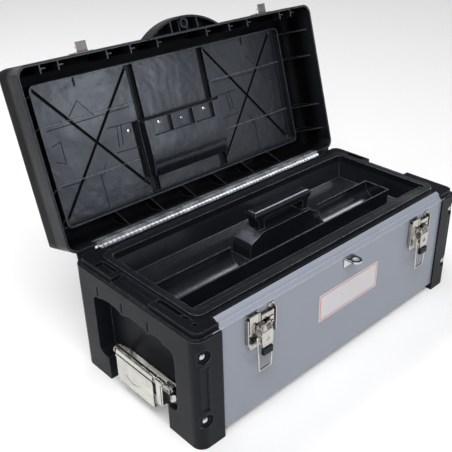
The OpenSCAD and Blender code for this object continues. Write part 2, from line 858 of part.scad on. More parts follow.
module lid_bands() {
    both() {
        translate([0, (-ring_front - well_front - wall) / 2, 0])
            along_y(ring_front - well_front - wall + 6)
                band_outline(well_half - 11, well_half + 3, 7.5, 3);
        translate([0, (well_back - well_front) / 2 + 2, 0])
            along_y(well_back + well_front + 9)
                band_outline(well_half + 3, well_half + 16, 5.5, 1.5);
        translate([0, (well_back + ring_back) / 2, 0])
            along_y(ring_back - well_back + 6)
                band_outline(well_half - 10, well_half + 8, 7.5, 2);
    }
}

module lid_grooves() {
    deep = lid_top - lid_floor;
    both() {
        box([well_half - 11, -ring_front + 2, lid_floor - 1],
            [well_half + 3, -well_front - wall, lid_floor + 7.5]);
        box([well_half + 4, -well_front - wall, lid_floor - 1],
            [well_half + 16, well_back + 7, lid_floor + 5]);
        box([well_half - 10, well_back + wall, lid_floor - 1],
            [well_half + 8, ring_back - 3, lid_floor + 7.5]);
        cross_lines(3.4, lid_floor - 1, deep - 1.2);
        // short witness lines
        translate([-ring_x + 88, -52, lid_floor - 1]) rotate([0, 0, 53]) cube([34, 1.6, 4], center = true);
    }
}

// The two crossed stiffening lines of one bay.
module cross_lines(w, z, h) {
    x0 = well_half + 5;
    x1 = ring_x - 12;
    y0 = -ring_front + 8;
    y1 = ring_back - 12;
    len = sqrt(pow(x1 - x0, 2) + pow(y1 - y0, 2));
    a = atan2(y1 - y0, x1 - x0);
    for (s = [-1, 1])
        translate([(x0 + x1) / 2, (y0 + y1) / 2, z + h / 2]) rotate([0, 0, s * a])
            cube([len, w, h], center = true);
}

module lid_ribs() {
    low = mouth_z + 12;
    rib_low = lid_floor - ring_h;
    // gussets across the end channels
    both() for (y = [-ring_front + 13, -ring_front + 60, ring_back - 64, ring_back - 17])
        translate([0, y + rib_t / 2, 0]) along_y(rib_t)
            polygon([[-ring_x - 0.5, lid_top - 2], [-ring_x - 0.5, rib_low],
                [-half_len + wall / 2, low], [-half_len + wall / 2, lid_top - 2]]);
    // gussets across the back channel
    for (k = [-2.5 : 1 : 2.5])
        translate([k * rib_pitch, 0, 0]) along_x(rib_t)
            polygon([[ring_back - 0.5, lid_top - 2], [ring_back - 0.5, rib_low],
                [half_dep - wall / 2, mouth_z + leaf_h + 4], [half_dep - wall / 2, lid_top - 2]]);
    // stiffeners on the front wall, each with a flange to its right
    for (s = [-1, 1], x = [nose_half - 20, nose_half + 30, ring_x - 112, ring_x - 32, ring_x - 4])
        translate([s * x, -half_dep + wall, 0]) {
            box([0, -wall / 2, low], [rib_t, 13, lid_top - 2]);
            box([0, 5, low], [9, 5 + rib_t, lid_top - 2]);
        }
    // low ribs across the bays
    both() {
        box([well_half + 17, 47.5, lid_floor - 1.6], [ring_x, 49.5, lid_top - 1]);
        box([well_half + 5, -42.5, lid_floor - 1.6], [ring_x, -40.5, lid_top - 1]);
        box([ring_x - 86, 49, lid_floor - 1.6], [ring_x - 84.4, ring_back - 1, lid_top - 1]);
        box([ring_x - 82, -ring_front + 1, lid_floor - 3],
            [ring_x - 80, -ring_front + 16, lid_top - 1]);
    }
}

module nose_plan(inset) {
    r = (pow(nose_half, 2) + pow(nose_out, 2)) / (2 * nose_out);
    intersection() {
        translate([0, -half_dep - nose_out + r]) circle(r - inset, $fn = 96);
        translate([-nose_half, -half_dep - nose_out])
            square([2 * nose_half, nose_out + wall - inset]);
    }
}

module lid_nose() {
    hole_y = -steel_y - eye_out;
    boss_r = eye_hole + 3;
    difference() {
        translate([0, 0, mouth_z]) linear_extrude(nose_h) nose_plan(0);
        difference() {
            translate([0, 0, mouth_z - 1]) linear_extrude(nose_h - wall + 1) nose_plan(wall);
            translate([0, hole_y, 0]) cylinder(h = lid_top, r = boss_r);
            for (x = [-26, 26])
                box([x - 1, -half_dep - nose_out, 0], [x + 1, -half_dep + wall, lid_top]);
            both() box([boss_r - 1.6, -half_dep - nose_out, mouth_z + 4],
                [boss_r + 0.6, -half_dep + wall, lid_top]);
        }
        translate([0, hole_y, mouth_z - 1]) cylinder(h = nose_h + 2, r = eye_hole);
    }
}

// The well for the carry handle, which bulges into the lid.
module well_bulge() {
    f = -well_front - wall;
    b = well_back + wall;
    z1 = lid_top - well_dep - wall;
    z2 = lid_top - well_deep - wall;
    intersection() {
        along_x(2 * (well_half + wall))
            polygon([[f, lid_top], [f, z2 + 2.5], [f + 2, z2 + 0.5], [22, z2 - 0.5], [45, z2 - 1],
                [68, z2 + 1.5], [b - 3, z1 - 1.5], [b, z1 + 1], [b, lid_top]]);
        translate([0, (f + b) / 2, 0]) linear_extrude(lid_top)
            rrect(2 * (well_half + wall), b - f, 6);
    }
}

module well_room() {
    z1 = lid_top - well_dep;
    z2 = lid_top - well_deep;
    along_x(2 * well_half)
        polygon([[-well_front, lid_top + 9], [-well_front, z1], [20.5, z1], [23, z2], [45, z2 - 0.5],
            [66, z2 + 1.8], [well_back - 2, z1 + 1], [well_back, z1 + 3], [well_back, lid_top + 9]]);
}

// Three shallow panels on the bulge, behind the handle's pivot.
module well_panels() {
    z = lid_top - well_dep - wall;
    for (x = [[-66, -27], [-24.5, 18.5], [21, 64]])
        box([x[0], -well_front, z - 9], [x[1], 17.5, z]);
}

module lid_shell() {
    color([0.1, 0.1, 0.11]) lid_pose() difference() {
        union() {
            difference() {
                lid_blank(0, lid_top);
                lid_blank(wall, lid_floor);
                translate([0, 0, mouth_z - 2]) linear_extrude(4)
                    rrect(case_len - 2 * wall, case_dep - 2 * wall, corner_r - wall / 2);
                // the front lip steps up over the steel's rolled edge
                box([-strip_x, -half_dep - 1, mouth_z - 1],
                    [strip_x, -half_dep + wall + 1, mouth_z + lip_step]);
            }
            intersection() {
                lid_ribs();
                lid_blank(wall / 2, lid_top);
            }
            translate([0, 0, lid_floor - ring_h]) linear_extrude(ring_h + 1) difference() {
                ring_plan(0);
                ring_plan(ring_t);
            }
            // lips that cover the gap beside the hinge while the lid stands open
            both() box([strip_x + 1, half_dep - wall, mouth_z],
                [half_len - corner_r + 4, half_dep + lip_back, mouth_z + wall]);
            lid_nose();
            lid_bands();
            both() cross_lines(7, lid_top - 0.5, 2);
            well_bulge();
        }
        lid_grooves();
        well_room();
        well_panels();
    }
}

module lid_rivets() {
    z = lid_top - well_dep - wall;
    color("silver") lid_pose() {
        for (s = [-1, 1]) translate([s * clip_half, -1, z]) mirror([0, 0, 1]) rivet(4, 2);
        translate([-3, 3, z]) mirror([0, 0, 1]) rivet(2.4, 2);
        translate([-well_half - 24, 0, lid_floor]) mirror([0, 0, 1]) rivet(3.4, 2);
    }
}

// ---- carry handle, folded into its well ----

module handle_clips() {
    t = 1.5;
    floor_z = lid_top - well_dep;
    half = 9;
    color("silver") lid_pose() for (s = [-1, 1])
        translate([s * clip_half, 0, 0]) difference() {
            union() {
                box([-half, -well_front + 1, floor_z], [half, pivot_back, floor_z + t]);
                translate([0, pivot_back, pivot_z]) rotate([0, 90, 0])
                    cylinder(h = 2 * half, r = rod_r + t, center = true);
            }
            translate([0, pivot_back, pivot_z]) rotate([0, 90, 0])
                cylinder(h = 4 * half, r = rod_r + fit, center = true);
            box([-half - 1, -well_front, floor_z - 9], [half + 1, well_back, floor_z]);
        }
}

// The handle hangs straight down from its pivot while the lid stands open.
module carry_handle() {
    arm_x = well_half - 2 - arm_w;
    color([0.07, 0.07, 0.08]) lid_pose() translate([0, pivot_back, pivot_z])
        rotate([lid_open - 90, 0, 0]) {
            translate([0, handle_len, 0]) rotate([0, 90, 0])
                cylinder(h = 2 * (arm_x + arm_w), r = grip_r, center = true);
            both() {
                box([arm_x, 0, -rod_r], [arm_x + arm_w, handle_len, rod_r]);
                translate([arm_x, 0, 0]) rotate([0, 90, 0]) cylinder(h = arm_w, r = rod_r);
                translate([clip_half - 10, 0, 0]) rotate([0, 90, 0])
                    cylinder(h = arm_x - clip_half + 11, r = rod_r);
            }
        }
}

// ---- tote tray ----

// The trough's outline, a U with its flat side up.
module trough_outline(r, top) {
    mid = tray_floor + trough_r + tray_wall;
    intersection() {
        union() {
            translate([-trough_mid, mid]) circle(r);
            translate([-trough_mid - r, mid]) square([2 * r, top - mid]);
        }
        translate([-trough_mid - r, 0]) square([2 * r, top]);
    }
}

module trough(x0, x1) {
    translate([(x0 + x1) / 2, 0, 0]) along_x(x1 - x0)
        trough_outline(trough_r + tray_wall, trough_top);
}

module trough_room(x0, x1) {
    translate([(x0 + x1) / 2, 0, 0]) along_x(x1 - x0) trough_outline(trough_r, trough_top + 2);
}

module tray_blank(inset) {
    taper = 10;
    x = tray_out_x - inset;
    y = tray_out_y - inset;
    z0 = tray_floor + inset;
    z1 = tray_top + (inset > 0 ? 1 : 0);
    intersection() {
        translate([0, 0, z0]) linear_extrude(z1 - z0) rrect(2 * x, 2 * y, 9 - inset / 2);
        along_y(case_dep) polygon([[-x, z1], [-x, z1 - 12], [-x + taper, z0],
            [x - taper, z0], [x, z1 - 12], [x, z1]]);
        along_x(case_len) polygon([[-y, z1], [-y, z1 - 12], [-y + taper, z0],
            [y - taper, z0], [y, z1 - 12], [y, z1]]);
    }
}

// Pedestal under the grip, with flanks that fall steeply to the floor. It is hollow from below.
module pedestal(inset) {
    half = tray_grip_half - 10 - inset / 2;
    foot = tray_grip_half + 16 - inset;
    deck = tray_top - 1 - inset;
    z0 = tray_floor - (inset > 0 ? 1 : 0);
    translate([0, 8, 0]) along_y(38 - 2 * inset)
        polygon([[-foot - 3, z0], [-foot - 1, trough_top - 12], [-foot + 2, trough_top - 2],
            [-half - 8, deck - 5], [-half, deck], [half, deck], [half + 8, deck - 5],
            [foot - 2, trough_top - 2], [foot + 1, trough_top - 12], [foot + 3, z0]]);
}

// The grip's outline seen from the front: a bar with round ends on two legs.
module grip_outline(bar) {
    half = tray_grip_half;
    deck = tray_top - 1;
    top = tray_top + tray_grip_h;
    fillet = 6;
    translate([0, top - bar / 2]) {
        square([2 * half - bar, bar], center = true);
        for (s = [-1, 1]) translate([s * (half - bar / 2), 0]) circle(bar / 2);
    }
    for (s = [-1, 1]) {
        polygon([[s * (half - 4), top - bar / 2], [s * (half - 9), deck - 1],
            [s * (half - 21), deck - 1], [s * (half - 19), deck + 9], [s * (half - 18), top - bar / 2]]);
        // fillet between bar and leg
        difference() {
            translate([s * (half - 18 - fillet / 2), top - bar - fillet / 2 + 0.5])
                square([fillet, fillet + 1], center = true);
            translate([s * (half - 18 - fillet), top - bar - fillet]) circle(fillet);
        }
    }
}

module tray_grip() {
    top = tray_top + tray_grip_h;
    r = 6;
    y0 = -4;
    y1 = 18;
    intersection() {
        translate([0, (y0 + y1) / 2, 0]) along_y(y1 - y0) grip_outline(12);
        along_x(case_len) {
            translate([y0, 0]) square([y1 - y0, top - r]);
            translate([y0 + r, 0]) square([y1 - y0 - 2 * r, top]);
            for (y = [y0 + r, y1 - r]) translate([y, top - r]) circle(r);
        }
    }
}

module tote_tray() {
    inner = tray_in_x;
    front_y = -trough_mid - trough_r;
    ends = [-104, 88];
    shelf_y = -tray_in_y + 13.5;
    color([0.13, 0.13, 0.14]) {
        difference() {
            union() {
                tray_blank(0);
                translate([0, 0, tray_z]) linear_extrude(flange_t) rrect(tray_len, tray_dep, 14);
            }
            difference() {
                tray_blank(tray_wall);
                trough(-case_len, ends[0]);
                trough(ends[1], inner - 33);
                // front divider, carried past the middle and on to the right
                box([-inner, front_y - tray_wall, 0], [inner - 36, front_y, trough_top]);
                // ledge along the front
                box([-case_len, -case_dep, 0], [case_len, shelf_y, tray_top - 6]);
                pedestal(0);
            }
            intersection() {
                tray_blank(tray_wall);
                union() {
                    trough_room(-case_len, ends[0] + 1);
                    trough_room(ends[1] - 1, inner - 33 - tray_wall);
                }
            }
            // open below the ledge, and inside the pedestal
            box([-case_len, -case_dep, tray_floor - 1],
                [case_len, shelf_y - tray_wall, tray_top - 6 - tray_wall]);
            pedestal(tray_wall);
        }
        tray_grip();
    }
}

steel_wrap();
end_cap_left();
end_cap_right();
rim_frame();
cap_rivets();
hinge_case_leaf();
hinge_pin();
hinge_lid_leaf();
padlock_eye();
translate([-latch_x, 0, 0]) latch_base();  // latch_base_left
translate([latch_x, 0, 0]) latch_base();  // latch_base_right
translate([-latch_x, 0, 0]) latch_pin();  // latch_pin_left
translate([latch_x, 0, 0]) latch_pin();  // latch_pin_right
latch_rivets();
translate([-latch_x, 0, 0]) lever();  // lever_left
translate([latch_x, 0, 0]) lever();  // lever_right
translate([-latch_x, 0, 0]) lever_tip();  // lever_tip_left
translate([latch_x, 0, 0]) lever_tip();  // lever_tip_right
translate([-latch_x, 0, 0]) bail();  // bail_left
translate([latch_x, 0, 0]) bail();  // bail_right
side_bracket();  // side_bracket_left
mirror([1, 0, 0]) side_bracket();  // side_bracket_right
side_rod();  // side_rod_left
mirror([1, 0, 0]) side_rod();  // side_rod_right
side_cover();  // side_cover_left
mirror([1, 0, 0]) side_cover();  // side_cover_right
side_hook();  // side_hook_left
mirror([1, 0, 0]) side_hook();  // side_hook_right
lid_shell();
lid_keepers();
keeper_rivets();
lid_rivets();
handle_clips();
carry_handle();
tote_tray();
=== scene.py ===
import math

import bpy
import bmesh
from mathutils import Matrix, Vector


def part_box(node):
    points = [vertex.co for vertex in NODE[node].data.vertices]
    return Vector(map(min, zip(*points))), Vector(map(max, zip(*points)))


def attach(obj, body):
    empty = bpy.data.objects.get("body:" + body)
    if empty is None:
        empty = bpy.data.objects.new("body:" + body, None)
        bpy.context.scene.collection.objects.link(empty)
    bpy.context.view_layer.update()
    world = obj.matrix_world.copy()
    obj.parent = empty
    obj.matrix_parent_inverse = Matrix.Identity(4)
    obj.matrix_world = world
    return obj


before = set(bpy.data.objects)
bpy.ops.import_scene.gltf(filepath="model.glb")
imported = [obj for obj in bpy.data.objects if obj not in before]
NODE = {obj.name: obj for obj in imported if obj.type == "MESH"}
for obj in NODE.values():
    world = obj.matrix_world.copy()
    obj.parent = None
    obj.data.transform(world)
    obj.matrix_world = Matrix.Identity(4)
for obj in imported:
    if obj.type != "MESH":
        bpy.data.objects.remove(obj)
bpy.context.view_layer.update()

SCENE = bpy.context.scene
MM = 0.001

# ---------------------------------------------------------------- sizes, in metres
# What lies on the lid is given with the lid closed.
LID_OPEN = math.radians(105.8)
HINGE = Vector((0, 0.138, 0.1777))
LID_TURN = (Matrix.Translation(HINGE) @ Matrix.Rotation(-LID_OPEN, 4, "X")
            @ Matrix.Translation(-HINGE))
STEEL_Y = 0.1305
HALF_LEN = 0.290
HALF_DEP = 0.134
LID_TOP = 0.254
LID_FLOOR = 0.250
# the lid's ring rib: half length, middle and half depth
RING_X = 0.254
RING_MID = 0.004
RING_HALF = 0.108
# middle of a bay's crossed lines, their angle, half length along X and half width
CROSS_X, CROSS_Y, CROSS_ANGLE = 0.162, 0.002, math.radians(50.77)
CROSS_REACH, CROSS_HALF = 0.078, 0.0017
# the two low ribs along each bay, and where they end beside the well
LOW_RIBS_Y = (0.0485, -0.0415)
LOW_RIBS_X = 0.081
# the handle well's curved underside: half width, front and back, and its top
WELL_X, WELL_FRONT, WELL_BACK, WELL_Z = 0.0775, 0.0200, 0.0815, 0.2410
# inner face of the lid's hinge leaf, and the height of its rivets
LEAF_Y, LEAF_RIVET_Z = 0.1298, 0.1885
# witness slots over the hand recess: middle one, pitch, half width, height of their middle, and
# half height
SLOT_MID, SLOT_PITCH, SLOT_WIDE = 0.0195, 0.057, 0.0011
SLOT_Z, SLOT_HALF = 0.15275, 0.0072
# label on the front: middle in X and Z, width and height
LABEL_X, LABEL_Z = 0.00925, 0.110
LABEL_W, LABEL_H = 0.1365, 0.046

HINGE_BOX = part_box("hinge_case_leaf")
HINGE_START = HINGE_BOX[0][0]
HINGE_LEN = HINGE_BOX[1][0] - HINGE_START
# the barrel gets painted shade at each gap between the 31 knuckles, and once between two gaps
GAP_PITCH = HINGE_LEN / 62
BARREL_R = 0.0031

# colours, linear
# painted shade: the black put in the lid's channel, its crossed lines, the caps' slots, and in
# part on the lid's outer faces
PAINTED_SHADE_BLACK = (0.0018, 0.0019, 0.0024)
# edges rubbed paler: partly wear, partly a painted highlight, which also goes on the lid's rib
# crests
RUBBED_AND_HIGHLIGHT_BLACK = (0.095, 0.100, 0.115)
# chips at the paint's edges, and a painted highlight along the bead's facets
BARE_STEEL_AND_HIGHLIGHT = (0.56, 0.58, 0.62)
# painted shade in the metal parts' corners
CORNER_SHADE = (0.045, 0.042, 0.038)
# painted shade in the gaps of the hinge's barrel
KNUCKLE_GAP_SHADE = (0.03, 0.03, 0.035)
LABEL_RED = (0.50, 0.045, 0.04)


# ---------------------------------------------------------------- materials
def socket(sockets, name, kind):
    """The socket of that name and type, on a node that has several of one name."""
    return [s for s in sockets if s.type == kind and (name is None or s.name == name)][0]


class Nodes:
    """A short way to write a node tree."""

    def __init__(self, tree):
        self.tree = tree

    def add(self, kind, **values):
        node = self.tree.nodes.new(kind)
        for key, value in values.items():
            if key in node.inputs:
                node.inputs[key].default_value = value
            else:
                setattr(node, key, value)
        return node

    def link(self, a, b):
        self.tree.links.new(a, b)

    def split(self, vector):
        node = self.add("ShaderNodeSeparateXYZ")
        self.link(vector, node.inputs["Vector"])
        return node.outputs["X"], node.outputs["Y"], node.outputs["Z"]

    def place(self, scale=(1, 1, 1), turn=(0, 0, 0), move=(0, 0, 0)):
        """The place on the object, which is where the surface lies with the lid open."""
        coord = self.add("ShaderNodeTexCoord")
        node = self.add("ShaderNodeMapping", Scale=scale, Rotation=turn, Location=move)
        self.link(coord.outputs["Object"], node.inputs["Vector"])
        return node.outputs["Vector"]

    def noise(self, scale, detail=2.0, rough=0.5, vector=None):
        node = self.add("ShaderNodeTexNoise", Scale=scale, Detail=detail, Roughness=rough)
        self.link(vector or self.place(), node.inputs["Vector"])
        return node.outputs["Fac"]

    def map(self, value, to_min, to_max, from_min=0.0, from_max=1.0):
        node = self.add("ShaderNodeMapRange")
        node.inputs["From Min"].default_value = from_min
        node.inputs["From Max"].default_value = from_max
        node.inputs["To Min"].default_value = to_min
        node.inputs["To Max"].default_value = to_max
        self.link(value, node.inputs["Value"])
        return node.outputs["Result"]

    def rise(self, value, start, end):
        """0 up to start, and 1 from end on."""
        return self.map(value, 0.0, 1.0, start, end)

    def fall(self, value, start, end):
        """1 up to start, and 0 from end on."""
        return self.map(value, 1.0, 0.0, start, end)

    def math(self, operation, a, b=0.0):
        node = self.add("ShaderNodeMath", operation=operation)
        for i, x in enumerate((a, b)):
            if isinstance(x, (int, float)):
                node.inputs[i].default_value = x
            else:
                self.link(x, node.inputs[i])
        return node.outputs["Value"]

    def plus(self, a, b):
        return self.math("ADD", a, b)

    def minus(self, a, b):
        return self.math("SUBTRACT", a, b)

    def times(self, *parts):
        product = parts[0]
        for part in parts[1:]:
            product = self.math("MULTIPLY", product, part)
        return product

    def most(self, a, b):
        return self.math("MAXIMUM", a, b)

    def least(self, a, b):
        return self.math("MINIMUM", a, b)

    def size(self, a):
        return self.math("ABSOLUTE", a)

    def away(self, value, middle):
        """How far a value is from a middle."""
        return self.size(self.minus(value, middle))

    def off_beat(self, value, start, pitch):
        """How far a value is from the nearest of a row, as a share of the row's pitch."""
        along = self.math("DIVIDE", self.minus(value, start), pitch)
        return self.away(self.math("FRACT", self.plus(along, 0.5)), 0.5)

    def mix(self, fac, a, b, blend="MIX"):
        node = self.add("ShaderNodeMix", data_type="RGBA", blend_type=blend)
        if isinstance(fac, float):
            node.inputs["Factor"].default_value = fac
        else:
            self.link(fac, node.inputs["Factor"])
        for key, x in (("A", a), ("B", b)):
            into = socket(node.inputs, key, "RGBA")
            if isinstance(x, tuple):
                into.default_value = (*x, 1)
            else:
                self.link(x, into)
        return socket(node.outputs, None, "RGBA")

    def mix_vector(self, fac, a, b):
        node = self.add("ShaderNodeMix", data_type="VECTOR")
        self.link(fac, socket(node.inputs, "Factor", "VALUE"))
        self.link(a, socket(node.inputs, "A", "VECTOR"))
        self.link(b, socket(node.inputs, "B", "VECTOR"))
        return socket(node.outputs, None, "VECTOR")

    def grey_ramp(self, value, stops):
        """Greys with a touch of blue, at places along a value."""
        node = self.add("ShaderNodeValToRGB")
        self.link(value, node.inputs["Fac"])
        marks = node.color_ramp.elements
        while len(marks) < len(stops):
            marks.new(0.5)
        for mark, (place, grey) in zip(marks, stops):
            mark.position = place
            mark.color = (grey, grey, grey * 1.02, 1)
        return node.outputs["Color"]

    def bump(self, height, strength, distance, normal=None):
        node = self.add("ShaderNodeBump", Strength=strength, Distance=distance)
        self.link(height, node.inputs["Height"])
        if normal is not None:
            self.link(normal, node.inputs["Normal"])
        return node.outputs["Normal"]

    def rounded(self, radius, samples=4):
        return self.add("ShaderNodeBevel", samples=samples, Radius=radius).outputs["Normal"]

    def edges(self, radius, broken, full=0.80, none=0.985):
        """1 along sharp edges and 0 on flat faces, broken up by a noise.

        full and none are the cosines of the turn at which an edge counts fully and not at all.
        """
        geometry = self.add("ShaderNodeNewGeometry")
        dot = self.add("ShaderNodeVectorMath", operation="DOT_PRODUCT")
        self.link(geometry.outputs["Normal"], dot.inputs[0])
        self.link(self.rounded(radius, 6), dot.inputs[1])
        return self.times(self.fall(dot.outputs["Value"], full, none),
                          self.map(broken, 0.25, 1.0, 0.38, 0.62))


class Surface(Nodes):
    """The node tree of a new material, and its shader's inputs."""

    def __init__(self, name):
        self.mat = bpy.data.materials.new(name)
        self.mat.use_nodes = True
        super().__init__(self.mat.node_tree)
        self.inputs = self.tree.nodes["Principled BSDF"].inputs

    def set(self, name, value):
        self.inputs[name].default_value = value

    def feed(self, name, source):
        self.link(source, self.inputs[name])


def plastic(name, shades, rough, grain, round_edge, gloss=0.4, wave=0.0, marks=None):
    """Moulded plastic: a spark-eroded grain, flow marks, sink waves, and edges rubbed paler,
    partly as wear and partly as a painted highlight.

    marks names a function that gives masks of the recesses that get painted shade and a rougher,
    less glossy finish, and of sunk lines, also painted in shade. It may also give the crests of
    ribs, painted paler as a highlight, and a curved part with its normal.
    """
    n = Surface(name)
    n.set("Specular IOR Level", gloss)
    n.set("IOR", 1.49)
    n.set("Specular Tint", (0.80, 0.88, 1.0, 1))
    cloud = n.noise(9, 3, 0.6)
    flow = n.noise(1, 3, 0.6, n.place((7, 34, 34)))
    fine = n.noise(grain, 3, 0.65)
    edge_noise = n.noise(140, 4, 0.7)
    base = n.mix(n.times(n.plus(cloud, flow), 0.5), *shades)
    # edges rubbed paler, partly as wear and partly as a painted highlight
    wear_and_highlight = n.times(n.edges(round_edge * 1.4, edge_noise), 0.8)
    r = n.plus(n.map(cloud, rough - 0.05, rough + 0.07, 0.3, 0.7), n.map(fine, -0.04, 0.05))
    r = n.minus(r, n.times(wear_and_highlight, 0.1))
    normal = n.rounded(round_edge)
    if marks is not None:
        m = marks(n)
        # the recesses and sunk lines get painted shade, and a rougher, less glossy finish
        matt_shade = n.most(m["matt_shade"], m["sunk"])
        wear_and_highlight = n.times(wear_and_highlight, n.minus(1.0, m["sunk"]))
        base = n.mix(matt_shade, base, PAINTED_SHADE_BLACK)
        r = n.plus(r, n.times(matt_shade, 0.22))
        n.feed("Specular IOR Level", n.map(matt_shade, gloss, 0.08))
        # the ribs' crests are painted paler, a painted highlight
        if "crest" in m:
            wear_and_highlight = n.most(wear_and_highlight, n.times(m["crest"], n.map(edge_noise, 0.2, 0.9, 0.35, 0.6)))
            normal = n.mix_vector(m["on_curve"], normal, m["curve"])
        normal = n.bump(m["sunk"], 0.8, -0.0012, normal)
    n.feed("Base Color", n.mix(wear_and_highlight, base, RUBBED_AND_HIGHLIGHT_BLACK))
    n.feed("Roughness", r)
    if wave:
        swell = n.plus(n.noise(11, 3, 0.55), n.times(n.noise(42, 3, 0.6), 0.22))
        normal = n.bump(swell, 1.0, wave, normal)
    n.feed("Normal", n.bump(fine, 0.35, 0.00008, normal))
    return n.mat


def lid_marks(n):
    """Masks on the lid, worked out where it is when it is closed.

    matt_shade is the channel outside the ring rib, painted in shade, and in part the grained
    outside, whose grain is its own and whose darker colour is partly painted shade. sunk is the
    crossed lines in the two bays, painted in shade, crest the low ribs' tops, painted paler as a
    highlight, and curve the smooth normal of the well.
    """
    back = HINGE - Matrix.Rotation(LID_OPEN, 3, "X") @ HINGE
    x, y, z = n.split(n.place(turn=(LID_OPEN, 0, 0), move=back))
    x = n.size(x)
    past_ring = n.most(n.minus(x, RING_X), n.minus(n.away(y, RING_MID), RING_HALF))
    # the channel outside the ring rib gets painted shade
    channel = n.times(n.rise(past_ring, -0.0005, 0.0015), n.rise(z, 0.188, 0.215))
    # height over the lid's outer faces, below 0 inside the wall
    over = n.most(n.minus(x, HALF_LEN), n.minus(n.size(y), HALF_DEP))
    over = n.most(over, n.minus(z, LID_TOP))
    # the outer faces: their grain is the lid's own, their darker colour partly painted shade
    outside = n.map(over, 0.0, 0.65, -0.0020, -0.0012)

    u = n.times(n.minus(x, CROSS_X), math.sin(CROSS_ANGLE))
    v = n.times(n.minus(y, CROSS_Y), math.cos(CROSS_ANGLE))
    off = n.least(n.size(n.minus(u, v)), n.size(n.plus(u, v)))
    within = n.fall(n.away(x, CROSS_X), CROSS_REACH, CROSS_REACH + 0.005)
    on_floor = n.times(n.rise(z, LID_FLOOR - 0.0060, LID_FLOOR - 0.0045),
                       n.fall(over, -0.0012, -0.0006))
    # the crossed lines get painted shade
    sunk = n.times(n.fall(off, CROSS_HALF, CROSS_HALF + 0.0009), within, on_floor)

    beside_rib = n.least(*(n.away(y, rib) for rib in LOW_RIBS_Y))
    # the low ribs' crests get a painted highlight
    crest = n.times(n.fall(beside_rib, 0.0010, 0.0014), n.rise(x, LOW_RIBS_X, LOW_RIBS_X + 0.003))
    crest = n.times(crest, n.minus(1.0, channel), on_floor)

    # the well's curved underside: its normal swings from the flat floor's to straight back
    swing = n.plus(n.map(y, math.radians(-5), math.radians(5), 0.016, 0.058),
                   n.map(y, 0.0, math.radians(38), 0.056, 0.082))
    closed_y = n.math("SINE", swing)
    closed_z = n.times(n.math("COSINE", swing), -1.0)
    c, s = math.cos(-LID_OPEN), math.sin(-LID_OPEN)
    join = n.add("ShaderNodeCombineXYZ")
    n.link(n.minus(n.times(closed_y, c), n.times(closed_z, s)), join.inputs["Y"])
    n.link(n.plus(n.times(closed_y, s), n.times(closed_z, c)), join.inputs["Z"])
    world = n.add("ShaderNodeVectorTransform", vector_type="NORMAL", convert_from="OBJECT",
                  convert_to="WORLD")
    n.link(join.outputs["Vector"], world.inputs["Vector"])
    on_curve = n.times(n.fall(x, WELL_X, WELL_X + 0.0010),
                       n.rise(y, WELL_FRONT, WELL_FRONT + 0.0015),
                       n.fall(y, WELL_BACK - 0.0020, WELL_BACK),
                       n.fall(z, WELL_Z - 0.0015, WELL_Z))
    return {"matt_shade": n.most(channel, outside), "sunk": sunk, "crest": crest,
            "curve": world.outputs["Vector"], "on_curve": on_curve}


def cap_marks(n):
    """The three witness slots over the hand recess, painted in shade inside."""
    x, y, z = n.split(n.place())
    off = n.times(n.off_beat(y, SLOT_MID, SLOT_PITCH), SLOT_PITCH)
    slot = n.times(n.fall(off, SLOT_WIDE, SLOT_WIDE + 0.0005),
                   n.fall(n.away(z, SLOT_Z), SLOT_HALF, SLOT_HALF + 0.0005),
                   n.fall(n.away(y, SLOT_MID), 1.2 * SLOT_PITCH, 1.3 * SLOT_PITCH),
                   n.rise(n.size(x), HALF_LEN - 0.003, HALF_LEN - 0.002))
    return {"matt_shade": slot, "sunk": slot}


def paint(name, base, round_edge):
    """Powder coat on steel sheet: fine orange peel, faint mottle, a soft sheen, chipped edges, and
    a painted highlight along sharp turns such as the bead's facets.
    """
    n = Surface(name)
    mottle = n.noise(22, 4, 0.6)
    broad = n.noise(3.2, 2, 0.5)
    darker = tuple(c * 0.93 for c in base)
    lighter = tuple(c * 1.05 for c in base)
    coat = n.mix(n.times(n.plus(mottle, broad), 0.5), darker, lighter)
    # edges chipped to bare steel, and a painted highlight along the bead's facets and other sharp
    # turns
    wear_and_highlight = n.times(n.edges(0.0016, n.noise(210, 4, 0.75), 0.985, 0.9990), 0.45)
    n.feed("Base Color", n.mix(wear_and_highlight, coat, BARE_STEEL_AND_HIGHLIGHT))
    n.set("Metallic", 0.15)
    n.set("Specular IOR Level", 0.2)
    n.set("Coat Weight", 0.45)
    n.set("Coat Roughness", 0.2)
    n.feed("Roughness", n.map(mottle, 0.34, 0.44))
    peel = n.noise(900, 2, 0.5)
    n.feed("Normal", n.bump(peel, 0.18, 0.00006, n.rounded(round_edge)))
    return n.mat


def knuckle_gap_shade(n):
    """Painted shade across the hinge's barrel, at each gap."""
    x, y, z = n.split(n.place())
    gap = n.off_beat(x, HINGE_START, GAP_PITCH)
    from_pin = n.most(n.away(y, HINGE.y), n.away(z, HINGE.z))
    return n.times(n.fall(gap, 0.05, 0.10), n.fall(from_pin, BARREL_R, BARREL_R + 0.0003))


